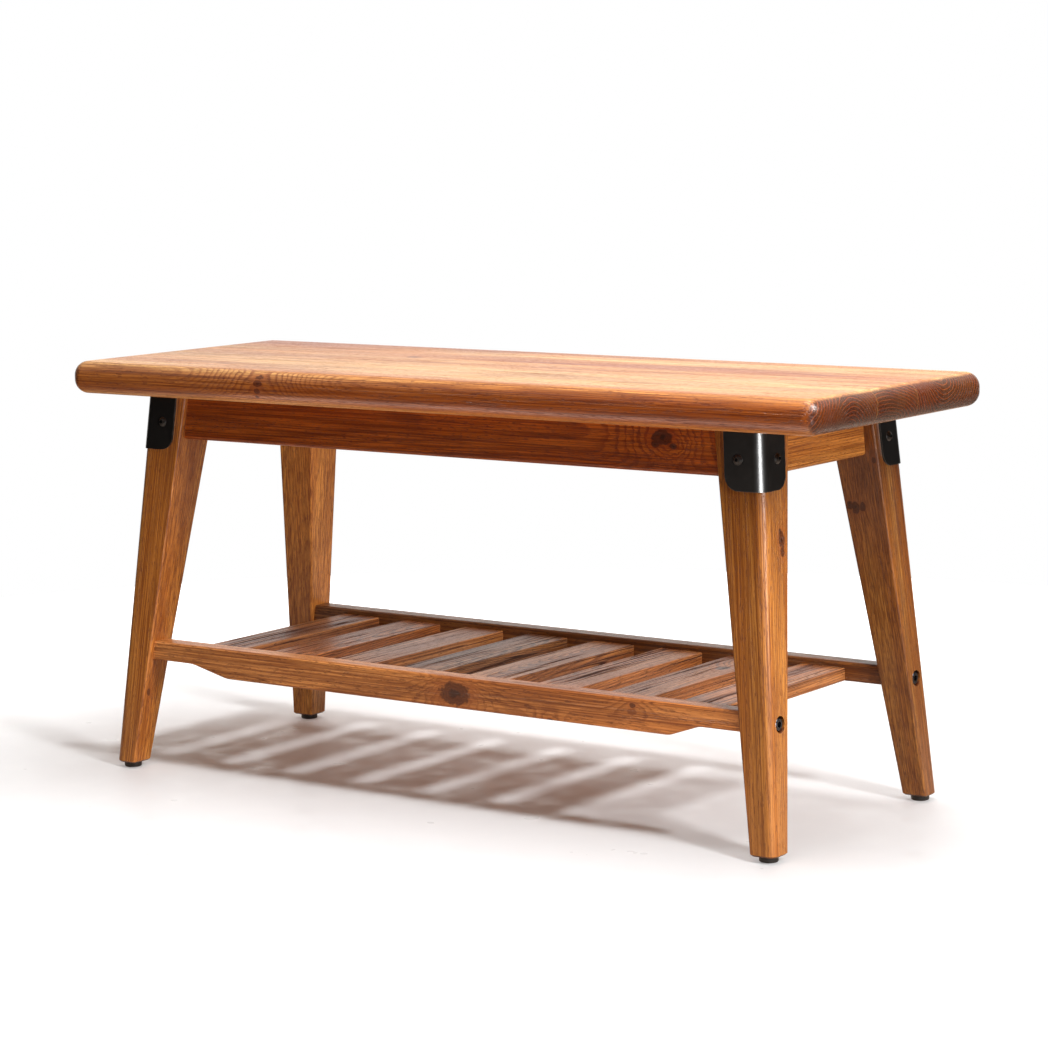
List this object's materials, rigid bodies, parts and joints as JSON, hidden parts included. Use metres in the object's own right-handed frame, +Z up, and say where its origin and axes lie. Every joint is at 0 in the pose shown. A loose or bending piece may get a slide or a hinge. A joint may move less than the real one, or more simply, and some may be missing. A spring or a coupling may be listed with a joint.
{
  "type": "entryway bench",
  "caption": "Low wooden entryway bench with a thick board seat, splayed tapered legs, black corner brackets and a slatted shoe shelf between shaped rails.",
  "frame": {"origin": "on the floor, under the middle of the seat", "axes": "+X along the length to the sitter's left when seated facing the front, -Y towards the front, +Z up"},
  "size_m": [0.94, 0.35, 0.45],
  "materials": {
    "seat_wood": "semi-gloss clear varnish",
    "leg_wood": "semi-gloss clear varnish",
    "apron_wood": "semi-gloss clear varnish",
    "rail_wood": "semi-gloss clear varnish",
    "slat_wood": "satin varnish over open, brushed grain",
    "button_wood": "bare wood",
    "brass_insert": "turned",
    "black_steel": "semi-gloss black powder coat",
    "black_bolt": "black oxide",
    "zinc_steel": "zinc plated",
    "black_plastic": "matt moulded"
  },
  "bodies": {
    "root": {"apron_back": "apron_wood", "apron_front": "apron_wood", "apron_left": "apron_wood", "apron_right": "apron_wood", "bracket_back_left": "black_steel", "bracket_back_right": "black_steel", "bracket_bolts": "black_bolt", "bracket_front_left": "black_steel", "bracket_front_right": "black_steel", "bracket_inserts": "brass_insert", "foot_glide_back_left": "black_plastic", "foot_glide_back_right": "black_plastic", "foot_glide_front_left": "black_plastic", "foot_glide_front_right": "black_plastic", "glide_nails": "zinc_steel", "leg_back_left": "leg_wood", "leg_back_right": "leg_wood", "leg_front_left": "leg_wood", "leg_front_right": "leg_wood", "rail_back": "rail_wood", "rail_barrel_nuts": "zinc_steel", "rail_bolts": "black_bolt", "rail_front": "rail_wood", "seat_board_back": "seat_wood", "seat_board_front": "seat_wood", "seat_board_middle": "seat_wood", "seat_button_screws": "zinc_steel", "seat_buttons": "button_wood", "slat_1": "slat_wood", "slat_2": "slat_wood", "slat_3": "slat_wood", "slat_4": "slat_wood", "slat_5": "slat_wood", "slat_6": "slat_wood", "slat_7": "slat_wood", "slat_8": "slat_wood"}
  },
  "joints": []
}
